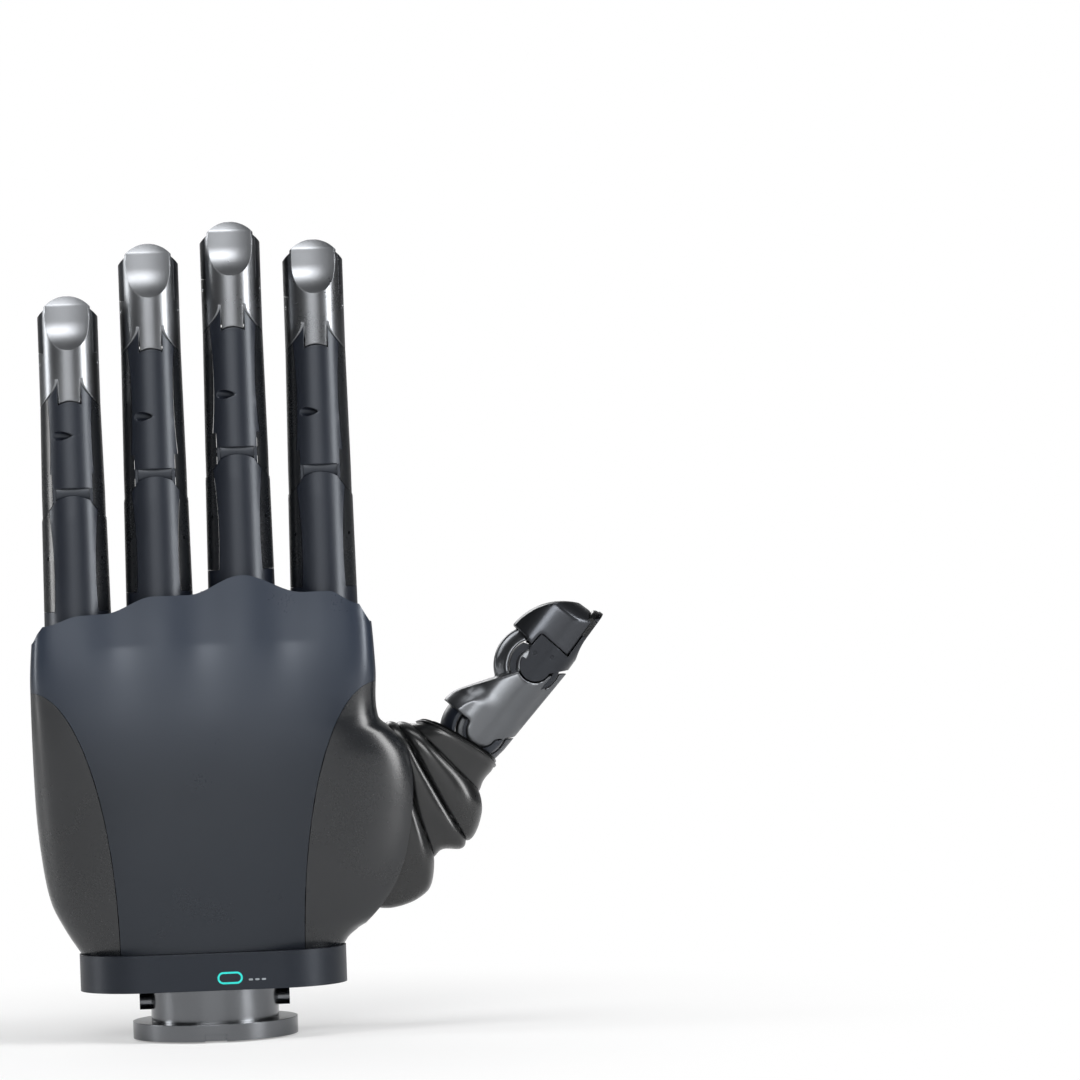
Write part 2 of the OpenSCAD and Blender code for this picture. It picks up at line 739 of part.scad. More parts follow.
// The scalloped edge over the knuckles, seen from the back
function knuckle_edge(x) = steps([
    [finger_x(LITTLE) - 12.5, little_z + edge_rise - 7.2],
    [finger_x(LITTLE) - 9, little_z + edge_rise - 2.6], [finger_x(LITTLE) + 1, little_z + edge_rise],
    [finger_x(LITTLE) + 7, little_z + edge_rise + 0.2], [finger_x(RING) - 1.5, ring_z + edge_rise],
    [finger_x(RING) + 7.5, ring_z + edge_rise], [finger_x(MIDDLE), middle_z + edge_rise - 0.3],
    [finger_x(INDEX) - 6, index_z + edge_rise], [finger_x(INDEX) + 1, index_z + edge_rise],
    [finger_x(INDEX) + 8.4, index_z + edge_rise - 3.4],
    [finger_x(INDEX) + 12, index_z + edge_rise - 8.4]], x);
module under_edge(drop) {
    step = 1.6;
    wide = finger_x(INDEX) + 14;
    rotate([90, 0, 0]) linear_extrude(2 * FAR, center = true) polygon(concat(
        [[FAR, 0], [FAR, knuckle_edge(FAR) - drop]],
        [for (x = [wide:-step:-wide]) [x, knuckle_edge(x) - drop]],
        [[-FAR, knuckle_edge(-FAR) - drop], [-FAR, 0]]));
}
// The side panels: outside a quarter ellipse that rises from the wrist to the palm's side
module panel_region(grow) {
    inner_x = 24.2;
    panel_top = side_z - 11.3;
    both() rotate([90, 0, 0]) linear_extrude(2 * FAR, center = true) {
        translate([palm_half_w, palm_z]) scale([palm_half_w - inner_x + grow, panel_top - palm_z + grow])
            circle(1, $fn = 96);
        translate([palm_half_w, 0]) square([FAR, panel_top + grow]);
        translate([inner_x - grow, 0]) square([FAR, palm_z]);
    }
}
module right_half() {
    translate([0, -FAR, -FAR]) cube([2 * FAR, 2 * FAR, 4 * FAR]);
}
// The opening for the thumb's root, in front of the mound's rim
module boot_opening() {
    side_x = palm_half_w - 6.5;
    translate([side_x, mound_rim_y, palm_z + 4]) cube([FAR, FAR, thumb_z + 0.2 - palm_z]);
}
module dorsal_cover() color(shell_blue) difference() {
    intersection() {
        palm_shell();
        behind(split_y);
        under_edge(0);
    }
    panel_region(seam);
}
module side_panels() intersection() {
    palm_shell();
    behind(split_y);
    panel_region(0);
}
module side_panel_left() color(panel_grey) difference() {
    side_panels();
    right_half();
}
module side_panel_right() color(panel_grey) difference() {
    intersection() {
        side_panels();
        right_half();
    }
    boot_opening();
}
module palm_cover() color(panel_grey) difference() {
    intersection() {
        palm_shell();
        under_edge(edge_rise + palm_edge_drop);
    }
    behind(split_y + seam);
    boot_opening();
}

// ---- Frame and drives inside the palm ----

ear_out = finger_pitch / 2;
outer_ear = 9.2;
bar_top = little_z - 12.4;
bar_foot = bar_top - 8;
plate_y = 0.5;
plate_t = 3;
motor_r = 5.5;
motor_foot = palm_z + 16;
motor_top = bar_foot - 10;
seat_t = 3;
screw_r = 2;
finger_motor_y = -6.2;
thumb_motor_y = plate_y + plate_t + motor_r + 0.3;
motor_spots = concat(
    [for (f = [LITTLE:INDEX]) [finger_x(f) * 0.62, finger_motor_y]],
    [[finger_x(MIDDLE) * 0.7, thumb_motor_y], [finger_x(MIDDLE) * 0.7 + 12.4, thumb_motor_y]]);

// One ear beside a knuckle; side is 1 towards the thumb and -1 away from it
module knuckle_ear(f, side) {
    outer = f + side < LITTLE || f + side > INDEX ? outer_ear : ear_out;
    at_knuckle(f) mirror([side > 0 ? 0 : 1, 0, 0]) {
        disc(knuckle_ear_r, boss_x + gap, outer);
        difference() {
            translate([boss_x + gap, -knuckle_ear_r, bar_foot - knuckle_z[f]])
                cube([outer - boss_x - gap, 2 * knuckle_ear_r, knuckle_z[f] - bar_foot]);
            open_below(knuckle_open + 2);
        }
    }
}
module motor_seat(z) translate([0, 0, z]) {
    translate([-23, -9, 0]) cube([47, 20, seat_t]);
    for (spot = motor_spots) translate([spot[0], spot[1], 0]) cylinder(r = motor_r, h = seat_t);
}
module palm_frame() color(gunmetal) difference() {
    union() {
        for (f = [LITTLE:INDEX], side = [-1, 1]) knuckle_ear(f, side);
        translate([finger_x(LITTLE) - outer_ear + 1.7, -7, bar_foot])
            cube([3 * finger_pitch + 2 * outer_ear - 3.4, 16, 8]);
        translate([-28, plate_y, palm_z]) cube([56, plate_t, bar_foot - palm_z]);
        translate([-24, -8.5, palm_z]) cube([48, 18, 3]);
        motor_seat(motor_foot - seat_t);
        motor_seat(motor_top);
        swing_lugs();
    }
    for (f = [LITTLE:INDEX]) at_knuckle(f) disc(knuckle_pin_d / 2, -outer_ear, outer_ear);
    for (spot = motor_spots) translate([spot[0], spot[1], motor_top - 1]) cylinder(r = screw_r + 0.3, h = bar_foot + 3 - motor_top);
    at_swing() translate([0, 0, -FAR]) cylinder(r = swing_d / 2, h = 2 * FAR);
    translate([0, 0, palm_z - 1]) cylinder(d = wrist_bore_d, h = 5);
}
// Two lugs at the palm's side hold the thumb's swing shaft
module swing_lugs() {
    upper_t = 2.4;
    lower_t = 5;
    arm_w = 6.4;
    arm_y = thumb_front - 1 - arm_w / 2;
    arm_x = 28;
    arm_end = swing_x - 7.6;
    inset = 0.2;
    at_swing() {
        translate([0, 0, hub_top + gap]) cylinder(r = lug_r, h = upper_t);
        translate([-9, arm_y - thumb_front, hub_top + gap + inset]) cube([8, arm_w, upper_t - 2 * inset]);
        translate([0, 0, hub_foot - gap - lower_t]) cylinder(r = lug_r, h = lower_t);
        translate([-12, arm_y - thumb_front, hub_foot - gap - lower_t + inset])
            cube([11, arm_w, lower_t - 2 * inset]);
    }
    translate([arm_x, arm_y + inset, thumb_z - 5]) cube([arm_end - arm_x, arm_w - 2 * inset, 5]);
    translate([arm_x, arm_y + inset, thumb_z - 22]) cube([arm_end - arm_x - 4, arm_w - 2 * inset, 6]);
    translate([arm_x, arm_y, palm_z + 26]) cube([6, arm_w, bar_foot - palm_z - 26]);
}
module knuckle_pins() color(steel)
    for (f = [LITTLE:INDEX]) at_knuckle(f) disc(knuckle_pin_d / 2, -outer_ear, outer_ear);
module drive_motors() color(steel) for (spot = motor_spots)
    translate([spot[0], spot[1], motor_foot]) cylinder(r = motor_r, h = motor_top - motor_foot);
module lead_screws() color(steel) for (spot = motor_spots)
    translate([spot[0], spot[1], motor_top]) cylinder(r = screw_r, h = bar_foot + 2 - motor_top);
module control_board() color("#1f5c3a") {
    board_y = plate_y + plate_t + 2;
    board_h = motor_top - motor_foot - 6;
    translate([-27, board_y, motor_foot + 3]) cube([24, 1.6, board_h]);
    for (x = [-24, -6], z = [motor_foot + 6, motor_foot + board_h])
        translate([x, plate_y + plate_t, z]) rotate([-90, 0, 0]) cylinder(r = 1.6, h = 2);
}

// ---- Wrist ----

module stadium(w, d, h) {
    both() translate([(w - d) / 2, 0, 0]) cylinder(r = d / 2, h = h);
    translate([(d - w) / 2, -d / 2, 0]) cube([w - d, d, h]);
}
module wrist_cuff() color(shell_blue) translate([0, 0, flange_t + neck_h]) difference() {
    stadium(cuff_w, cuff_d, cuff_h);
    translate([0, 0, -1]) cylinder(d = wrist_bore_d, h = cuff_h + 2);
    translate([0, 0, -1]) cylinder(d = neck_d + 0.1, h = 3);
}
module wrist_flange() color(gunmetal) difference() {
    union() {
        cylinder(d = flange_d, h = flange_t, $fn = 128);
        cylinder(d = neck_d, h = flange_t + neck_h + 2, $fn = 128);
    }
    translate([0, 0, -1]) cylinder(d = wrist_bore_d, h = 2 * FAR);
    translate([-notch_w / 2, -flange_d, -1]) cube([notch_w, flange_d / 2 + 2.4, 3]);
    for (a = [45:90:315]) rotate(a) translate([bolt_circle_d / 2, 0, -1]) cylinder(d = bolt_d, h = 9);
    bayonet_holes();
}
module bayonet_holes() {
    both() translate([neck_d / 2 - 4, 0, flange_t + neck_h * 0.6]) rotate([0, 90, 0]) cylinder(d = bayonet_d, h = 20);
}
module bayonet_pins() color(gunmetal) both() translate([neck_d / 2 - 4, 0, flange_t + neck_h * 0.6])
    rotate([0, 90, 0]) cylinder(d = bayonet_d, h = bayonet_x - neck_d / 2 + 4);

// ---- Nodes ----

wrist_flange();
bayonet_pins();
wrist_cuff();
palm_frame();
dorsal_cover();
side_panel_left();
side_panel_right();
palm_cover();
knuckle_pins();
drive_motors();
lead_screws();
control_board();
at_knuckle(LITTLE) proximal_shell();  // little_proximal_shell
at_knuckle(LITTLE) proximal_covers();  // little_proximal_covers
at_middle(LITTLE) hinge_pin();  // little_middle_pin
at_middle(LITTLE) middle_shell(LITTLE);  // little_middle_shell
at_middle(LITTLE) middle_covers(LITTLE);  // little_middle_covers
at_end(LITTLE) hinge_pin();  // little_end_pin
at_end(LITTLE) tip_link(tip_w, belly, nail_depth);  // little_tip_link
at_end(LITTLE) pulp_pad(tip_w, belly, nail_depth);  // little_pulp_pad
at_end(LITTLE) tip_cap(tip_w, nail_depth);  // little_tip_cap
at_knuckle(RING) proximal_shell();  // ring_proximal_shell
at_knuckle(RING) proximal_covers();  // ring_proximal_covers
at_middle(RING) hinge_pin();  // ring_middle_pin
at_middle(RING) middle_shell(RING);  // ring_middle_shell
at_middle(RING) middle_covers(RING);  // ring_middle_covers
at_end(RING) hinge_pin();  // ring_end_pin
at_end(RING) tip_link(tip_w, belly, nail_depth);  // ring_tip_link
at_end(RING) pulp_pad(tip_w, belly, nail_depth);  // ring_pulp_pad
at_end(RING) tip_cap(tip_w, nail_depth);  // ring_tip_cap
at_knuckle(MIDDLE) proximal_shell();  // middle_proximal_shell
at_knuckle(MIDDLE) proximal_covers();  // middle_proximal_covers
at_middle(MIDDLE) hinge_pin();  // middle_middle_pin
at_middle(MIDDLE) middle_shell(MIDDLE);  // middle_middle_shell
at_middle(MIDDLE) middle_covers(MIDDLE);  // middle_middle_covers
at_end(MIDDLE) hinge_pin();  // middle_end_pin
at_end(MIDDLE) tip_link(tip_w, belly, nail_depth);  // middle_tip_link
at_end(MIDDLE) pulp_pad(tip_w, belly, nail_depth);  // middle_pulp_pad
at_end(MIDDLE) tip_cap(tip_w, nail_depth);  // middle_tip_cap
at_knuckle(INDEX) proximal_shell();  // index_proximal_shell
at_knuckle(INDEX) proximal_covers();  // index_proximal_covers
at_middle(INDEX) hinge_pin();  // index_middle_pin
at_middle(INDEX) middle_shell(INDEX);  // index_middle_shell
at_middle(INDEX) middle_covers(INDEX);  // index_middle_covers
at_end(INDEX) hinge_pin();  // index_end_pin
at_end(INDEX) tip_link(tip_w, belly, nail_depth);  // index_tip_link
at_end(INDEX) pulp_pad(tip_w, belly, nail_depth);  // index_pulp_pad
at_end(INDEX) tip_cap(tip_w, nail_depth);  // index_tip_cap
thumb_base();
swing_shaft();
thumb_boot();
at_thumb() hinge_pin();  // thumb_root_pin
thumb_proximal_shell();
at_thumb() translate([0, 0, thumb_len]) hinge_pin();  // thumb_end_pin
at_thumb_end() tip_link(thumb_w, thumb_belly, thumb_nail_depth, true);  // thumb_tip_link
at_thumb_end() pulp_pad(thumb_w, thumb_belly, thumb_nail_depth, true);  // thumb_pulp_pad
at_thumb_end() tip_cap(thumb_w, thumb_nail_depth);  // thumb_tip_cap
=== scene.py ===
"""Dexterous left hand, dressed over its CAD frame. Lengths are in mm, and MM turns them into metres."""
import json
import math

import bpy
import numpy as np
from mathutils import Matrix, Vector


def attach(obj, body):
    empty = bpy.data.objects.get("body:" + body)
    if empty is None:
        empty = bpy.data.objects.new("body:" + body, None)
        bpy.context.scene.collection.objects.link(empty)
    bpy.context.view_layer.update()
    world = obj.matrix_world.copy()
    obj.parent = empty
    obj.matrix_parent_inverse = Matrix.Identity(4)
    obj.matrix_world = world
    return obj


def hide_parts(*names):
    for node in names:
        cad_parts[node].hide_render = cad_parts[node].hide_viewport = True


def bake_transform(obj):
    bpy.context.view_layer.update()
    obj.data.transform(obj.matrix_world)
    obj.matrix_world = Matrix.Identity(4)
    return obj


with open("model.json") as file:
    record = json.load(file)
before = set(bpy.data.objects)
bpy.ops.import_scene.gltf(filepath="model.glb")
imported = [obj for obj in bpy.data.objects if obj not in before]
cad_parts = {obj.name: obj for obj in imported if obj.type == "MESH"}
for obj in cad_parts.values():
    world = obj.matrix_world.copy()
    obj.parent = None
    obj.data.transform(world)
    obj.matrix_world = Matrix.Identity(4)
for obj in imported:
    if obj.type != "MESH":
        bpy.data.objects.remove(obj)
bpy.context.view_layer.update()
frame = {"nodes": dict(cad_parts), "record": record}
MM = 0.001
LENS = 181.3
CAMERA_PLACE, CAMERA_TARGET, CAMERA_UP = (0.0, -1.4416, 0.131), (0.0904, 0.0, 0.1277), (0.0349, 0.0, 0.9994)
HAND_MIDDLE = (0.02, 0, 0.11)
# Lamps: place, width, height and watts
LAMPS = {
    "box_front": ((-0.3, -1.45, 0.7), 0.95, 0.42, 12),
    "box_fill": ((-0.1, -2.1, 0.3), 1.5, 0.8, 3.5),
    "box_left": ((-1.0, 0.05, 0.2), 0.22, 1.2, 7),
    "box_right": ((0.88, -0.5, 0.2), 0.3, 1.2, 12),
    "box_back": ((-0.35, 1.2, 0.6), 0.9, 0.5, 4),
    "box_top": ((0.05, -0.2, 1.1), 0.9, 0.35, 4),
}
WORLD_STRENGTH = 0.09
# The sweep: floor ends and wall height in metres, and the radius of the curve between them
FLOOR_NEAR, FLOOR_FAR, SWEEP_R, WALL_TOP, SWEEP_HALF_W, FLOOR_GAP = -2.6, 1.6, 0.6, 2.6, 3.0, 0.0004


# ---- Camera, light and stage ----

def look(obj, target, up):
    """Turns an object at its place so that its -Z axis points at the target."""
    forward = (Vector(target) - obj.location).normalized()
    right = forward.cross(Vector(up)).normalized()
    top = right.cross(forward)
    obj.matrix_world = Matrix((
        (right.x, top.x, -forward.x, obj.location.x),
        (right.y, top.y, -forward.y, obj.location.y),
        (right.z, top.z, -forward.z, obj.location.z),
        (0, 0, 0, 1)))


def make_camera():
    data = bpy.data.cameras.new("camera")
    data.sensor_width = 36
    data.lens = LENS
    data.clip_start = 0.05
    camera = bpy.data.objects.new("camera", data)
    bpy.context.scene.collection.objects.link(camera)
    camera.location = CAMERA_PLACE
    look(camera, CAMERA_TARGET, CAMERA_UP)
    bpy.context.scene.camera = camera


def softbox(name, place, width, height, power):
    data = bpy.data.lights.new(name, "AREA")
    data.shape = "RECTANGLE"
    data.size = width
    data.size_y = height
    data.energy = power
    lamp = bpy.data.objects.new(name, data)
    bpy.context.scene.collection.objects.link(lamp)
    lamp.location = place
    look(lamp, HAND_MIDDLE, (0, 0, 1))


def make_light():
    for name, lamp in LAMPS.items():
        softbox(name, *lamp)
    world = bpy.data.worlds.new("studio")
    world.use_nodes = True
    bpy.context.scene.world = world
    tree = world.node_tree
    tree.nodes.clear()
    out = tree.nodes.new("ShaderNodeOutputWorld")
    plain = tree.nodes.new("ShaderNodeBackground")
    plain.inputs["Color"].default_value = (0.8, 0.81, 0.83, 1)
    plain.inputs["Strength"].default_value = WORLD_STRENGTH
    white = tree.nodes.new("ShaderNodeBackground")
    white.inputs["Color"].default_value = (1, 1, 1, 1)
    path = tree.nodes.new("ShaderNodeLightPath")
    mix = tree.nodes.new("ShaderNodeMixShader")
    tree.links.new(path.outputs["Is Camera Ray"], mix.inputs["Fac"])
    tree.links.new(plain.outputs[0], mix.inputs[1])
    tree.links.new(white.outputs[0], mix.inputs[2])
    tree.links.new(mix.outputs[0], out.inputs["Surface"])


def make_stage():
    """A sweep: a floor under the flange that curves up into the backdrop."""
    profile = [(FLOOR_NEAR, 0.0), (FLOOR_FAR, 0.0)]
    profile += [(FLOOR_FAR + SWEEP_R * math.sin(a), SWEEP_R - SWEEP_R * math.cos(a))
                for a in np.radians(np.linspace(6, 90, 15))]
    profile += [(FLOOR_FAR + SWEEP_R, WALL_TOP)]
    rings = np.array([[(x, y, z - FLOOR_GAP) for x in (-SWEEP_HALF_W, SWEEP_HALF_W)] for y, z in profile])
    sweep = grid("stage_sweep", rings)
    m = bpy.data.materials.new("stage_white")
    m.use_nodes = True
    tree = m.node_tree
    tree.nodes.clear()
    out = tree.nodes.new("ShaderNodeOutputMaterial")
    paint = tree.nodes.new("ShaderNodeBsdfDiffuse")
    paint.inputs["Color"].default_value = (0.93, 0.93, 0.93, 1)
    # The backdrop's even white emission; no highlight is painted here.
    glow_and_painted_highlight = tree.nodes.new("ShaderNodeEmission")
    path = tree.nodes.new("ShaderNodeLightPath")
    also = tree.nodes.new("ShaderNodeMath")
    also.operation = "MAXIMUM"
    place = tree.nodes.new("ShaderNodeNewGeometry")
    length = tree.nodes.new("ShaderNodeVectorMath")
    length.operation = "LENGTH"
    far = tree.nodes.new("ShaderNodeMapRange")
    far.interpolation_type = "SMOOTHSTEP"
    far.inputs["From Min"].default_value = 0.05
    far.inputs["From Max"].default_value = 0.22
    far.inputs["To Min"].default_value = 0.35
    both = tree.nodes.new("ShaderNodeMath")
    both.operation = "MULTIPLY"
    mix = tree.nodes.new("ShaderNodeMixShader")
    link = tree.links.new
    link(path.outputs["Is Camera Ray"], also.inputs[0])
    link(path.outputs["Is Transmission Ray"], also.inputs[1])
    link(place.outputs["Position"], length.inputs[0])
    link(length.outputs["Value"], far.inputs["Value"])
    link(also.outputs[0], both.inputs[0])
    link(far.outputs["Result"], both.inputs[1])
    link(both.outputs[0], mix.inputs["Fac"])
    link(paint.outputs[0], mix.inputs[1])
    link(glow_and_painted_highlight.outputs[0], mix.inputs[2])
    link(mix.outputs[0], out.inputs["Surface"])
    sweep.data.materials.append(m)


# ---- Mesh helpers ----

def grid(name, rings, closed=False):
    """A surface through rings of points in metres; closed joins each ring to itself."""
    rings = np.asarray(rings, float)
    n, m = rings.shape[:2]
    faces = []
    for i in range(n - 1):
        for j in range(m if closed else m - 1):
            k = (j + 1) % m
            faces.append((i * m + j, i * m + k, (i + 1) * m + k, (i + 1) * m + j))
    mesh = bpy.data.meshes.new(name)
    mesh.from_pydata([tuple(p) for p in rings.reshape(-1, 3)], [], faces)
    mesh.polygons.foreach_set("use_smooth", [True] * len(mesh.polygons))
    mesh.update()
    obj = bpy.data.objects.new(name, mesh)
    bpy.context.scene.collection.objects.link(obj)
    return obj


def solid(obj, thickness, bevel):
    """Gives a surface its wall, away from its outer side, and rounds its rim. The sign of the summed
    area tells which side is the outer one."""
    m = obj.modifiers.new("wall", "SOLIDIFY")
    m.thickness = thickness * MM
    m.use_even_offset = False
    area = sum(p.area * p.normal.dot(p.center - Vector((0.002, 0.001, p.center.z)))
               for p in obj.data.polygons)
    m.offset = -1 if area > 0 else 1
    rim = obj.modifiers.new("rim", "BEVEL")
    rim.width = bevel * MM
    rim.segments = 3
    rim.limit_method = "ANGLE"
    rim.angle_limit = math.radians(50)
    rim.harden_normals = True
    return obj


def curve(table, x):
    """A smooth line through rows of (place, value), the same as the source's."""
    t = np.asarray(table, float)
    x = np.clip(np.asarray(x, float), t[0, 0], t[-1, 0])
    n = len(t)
    slope = np.array([(t[min(i + 1, n - 1), 1] - t[max(i - 1, 0), 1])
                      / (t[min(i + 1, n - 1), 0] - t[max(i - 1, 0), 0]) for i in range(n)])
    i = np.clip(np.searchsorted(t[:, 0], x, side="right") - 1, 0, n - 2)
    h = t[i + 1, 0] - t[i, 0]
    u = (x - t[i, 0]) / h
    return ((2 * u**3 - 3 * u * u + 1) * t[i, 1] + (u**3 - 2 * u * u + u) * h * slope[i]
            + (3 * u * u - 2 * u**3) * t[i + 1, 1] + (u**3 - u * u) * h * slope[i + 1])


def steps(table, x):
    """Rows of (place, value) joined by level-ended steps."""
    t = np.asarray(table, float)
    x = np.clip(np.asarray(x, float), t[0, 0], t[-1, 0])
    i = np.clip(np.searchsorted(t[:, 0], x, side="right") - 1, 0, len(t) - 2)
    u = (x - t[i, 0]) / (t[i + 1, 0] - t[i, 0])
    return t[i, 1] + (t[i + 1, 1] - t[i, 1]) * u * u * (3 - 2 * u)


def smoothstep(x, a, b):
    """0 below a and 1 above b, with a smooth rise between."""
    u = np.clip((np.asarray(x, float) - a) / (b - a), 0, 1)
    return u * u * (3 - 2 * u)


# ---- Materials ----

def hexed(text):
    """A colour from its written hex value, in the linear values that the shader takes."""
    srgb = [int(text[i:i + 2], 16) / 255 for i in (1, 3, 5)]
    return tuple(c / 12.92 if c <= 0.04045 else ((c + 0.055) / 1.055) ** 2.4 for c in srgb) + (1,)


def material(name, colour, metallic=0.0, roughness=0.4, grain=900, bump=0.05, mottle=0.12,
             streak=None, coat=0.0, coat_roughness=0.2, edge=0.25, specular=0.5,
             tint=(1, 1, 1), glow_and_painted_highlight=None):
    """A moulded, coated or machined surface: fine grain, slow mottling and edges softened by edge, in mm.
    grain is in bumps per metre, streak stretches it along an axis as brushing does. The last argument paints
    a
    highlight into the colour: it lightens the paint between two heights in metres, by the factor given last."""
    m = bpy.data.materials.new(name)
    m.use_nodes = True
    tree = m.node_tree
    tree.nodes.clear()
    link = tree.links.new
    out = tree.nodes.new("ShaderNodeOutputMaterial")
    skin = tree.nodes.new("ShaderNodeBsdfPrincipled")
    skin.inputs["Metallic"].default_value = metallic
    skin.inputs["Coat Weight"].default_value = coat
    skin.inputs["Coat Roughness"].default_value = coat_roughness
    skin.inputs["Specular Tint"].default_value = tint + (1,)
    skin.inputs["Specular IOR Level"].default_value = specular
    link(skin.outputs[0], out.inputs["Surface"])
    where = tree.nodes.new("ShaderNodeTexCoord")
    place = tree.nodes.new("ShaderNodeMapping")
    place.inputs["Scale"].default_value = streak or (1, 1, 1)
    link(where.outputs["Object"], place.inputs["Vector"])
    fine = tree.nodes.new("ShaderNodeTexNoise")
    fine.inputs["Scale"].default_value = grain
    fine.inputs["Detail"].default_value = 4
    link(place.outputs[0], fine.inputs["Vector"])
    slow = tree.nodes.new("ShaderNodeTexNoise")
    slow.inputs["Scale"].default_value = 38
    slow.inputs["Detail"].default_value = 5
    link(where.outputs["Object"], slow.inputs["Vector"])
    # Colour: the base, drifting a little
    tone = tree.nodes.new("ShaderNodeMapRange")
    tone.inputs["To Min"].default_value = 1 - mottle
    tone.inputs["To Max"].default_value = 1 + mottle
    link(slow.outputs["Fac"], tone.inputs["Value"])
    base = tree.nodes.new("ShaderNodeMix")
    base.data_type = "RGBA"
    base.blend_type = "MULTIPLY"
    base.inputs["Factor"].default_value = 1
    base.inputs["A"].default_value = hexed(colour)
    link(tone.outputs[0], base.inputs["B"])
    shade = base.outputs["Result"]
    # Painted highlight: the colour is lightened between two heights of the object, standing in for a lamp's
    # highlight.
    if glow_and_painted_highlight:
        split = tree.nodes.new("ShaderNodeSeparateXYZ")
        rise = tree.nodes.new("ShaderNodeMapRange")
        rise.interpolation_type = "SMOOTHSTEP"
        rise.inputs["From Min"].default_value = glow_and_painted_highlight[0]
        rise.inputs["From Max"].default_value = glow_and_painted_highlight[1]
        rise.inputs["To Min"].default_value = 1
        rise.inputs["To Max"].default_value = glow_and_painted_highlight[2]
        painted_highlight_lift = tree.nodes.new("ShaderNodeVectorMath")
        painted_highlight_lift.operation = "SCALE"
        link(where.outputs["Object"], split.inputs[0])
        link(split.outputs["Z"], rise.inputs["Value"])
        link(shade, painted_highlight_lift.inputs[0])
        link(rise.outputs[0], painted_highlight_lift.inputs["Scale"])
        shade = painted_highlight_lift.outputs[0]
    link(shade, skin.inputs["Base Color"])
    # Roughness: grain and slow smears together
    blend = tree.nodes.new("ShaderNodeMath")
    blend.operation = "MULTIPLY_ADD"
    blend.inputs[1].default_value = 0.35
    link(fine.outputs["Fac"], blend.inputs[0])
    link(slow.outputs["Fac"], blend.inputs[2])
    rough = tree.nodes.new("ShaderNodeMapRange")
    rough.inputs["From Min"].default_value = 0.35
    rough.inputs["From Max"].default_value = 1.0
    rough.inputs["To Min"].default_value = roughness - 0.05
    rough.inputs["To Max"].default_value = roughness + 0.06
    link(blend.outputs[0], rough.inputs["Value"])
    link(rough.outputs[0], skin.inputs["Roughness"])
    relief = tree.nodes.new("ShaderNodeBump")
    relief.inputs["Strength"].default_value = bump
    relief.inputs["Distance"].default_value = 0.0002
    link(fine.outputs["Fac"], relief.inputs["Height"])
    if edge:
        soft = tree.nodes.new("ShaderNodeBevel")
        soft.samples = 4
        soft.inputs["Radius"].default_value = edge * MM
        link(soft.outputs[0], relief.inputs["Normal"])
    link(relief.outputs[0], skin.inputs["Normal"])
    return m


def paint(obj, m):
    obj.data.materials.clear()
    obj.data.materials.append(m)
    return obj


def make_materials():
    return {
        "blue_grey_shell": material("satin_blue_grey", "#12161f", 0.0, 0.34, 1400, 0.015, 0.06, coat=0.15,
                                    coat_roughness=0.3, tint=(0.86, 0.92, 1)),
        # The cover's colour has a painted highlight: it is lightened up to 3.4 times from 0.06 m to 0.108 m
        # high, towards the knuckles.
        "cover_shell": material("satin_cover", "#10141b", 0.0, 0.3, 1400, 0.012, 0.06, coat=0.1,
                                coat_roughness=0.3, edge=0, tint=(0.86, 0.92, 1), glow_and_painted_highlight=(0.06, 0.108, 3.4)),
        "cuff_shell": material("satin_cuff", "#10141c", 0.0, 0.38, 1400, 0.015, 0.06,
                               tint=(0.86, 0.92, 1), specular=0.4),
        "grey_panel": material("satin_grey_panel", "#15171a", 0.0, 0.27, 1600, 0.012, 0.05, coat=0.25,
                               edge=0),
        "thumb_grey": material("satin_metallic_grey", "#6a6c6f", 0.9, 0.3, 1500, 0.03, 0.05),
        "thumb_dome": material("moulded_dark_grey", "#45474b", 0.9, 0.3, 1500, 0.02, 0.05, edge=0),
        "thumb_shell": material("moulded_metallic_grey", "#626467", 0.9, 0.32, 1500, 0.02, 0.05, edge=0),
        "thumb_plate": material("dark_mirror_plate", "#3c3e42", 1.0, 0.22, 1500, 0.015, 0.05),
        "boot_rubber": material("charcoal_rubber", "#0f1011", 0.0, 0.28, 1100, 0.012, 0.04, edge=0,
                                specular=0.6, coat=0.15),
        "fingertip_metal": material("polished_gunmetal", "#808285", 1.0, 0.3, 900, 0.012, 0.04),
        "nail_metal": material("polished_nail", "#7c7e81", 1.0, 0.3, 900, 0.012, 0.04, edge=0),
        "fingertip_pad": material("grip_pad", "#3f4145", 0.85, 0.3, 1200, 0.06, 0.08),
        "dark_gunmetal": material("turned_gunmetal", "#6f7174", 1.0, 0.2, 900, 0.02, 0.04,
                                  streak=(0.2, 0.2, 1)),
        "frame_aluminium": material("milled_frame", "#1d1e20", 0.4, 0.5, 900, 0.1, 0.1),
        "motor_steel": material("motor_can", "#9a9c9e", 1.0, 0.35, 900, 0.05, 0.08, streak=(1, 1, 0.05)),
        "board_green": material("board_lacquer", "#1f5c3a", 0.0, 0.3, 600, 0.1, 0.2),
        "pin_steel": material("ground_steel", "#8f9194", 1.0, 0.25, 900, 0.04, 0.05, streak=(0.05, 1, 1)),
        "black_trim": material("gloss_black", "#0c0d0e", 0.0, 0.18, 900, 0.03, 0.05, edge=0.15),
        "accent_teal": material("teal_mark", "#19cfc6", 0.0, 0.4, 900, 0.02, 0.05, edge=0),
        "accent_pale": material("pale_mark", "#8e9499", 0.0, 0.45, 900, 0.02, 0.05, edge=0),
    }


FINISHES = {"wrist_cuff": "cuff_shell", "thumb_tip_link": "thumb_plate"}


def dress_nodes(mats):
    """Each CAD node that shows takes the material of its slot in the record."""
    slots = {s["node"]: s["material_slot"] for s in frame["record"]["subparts"]}
    for name, node in frame["nodes"].items():
        paint(node, mats[FINISHES.get(name, slots[name])])
        node.data.polygons.foreach_set("use_smooth", [True] * len(node.data.polygons))
        edges = node.modifiers.new("smooth_by_angle", "EDGE_SPLIT")
        edges.split_angle = math.radians(32)


# ---- Sizes repeated from the CAD source, in mm ----

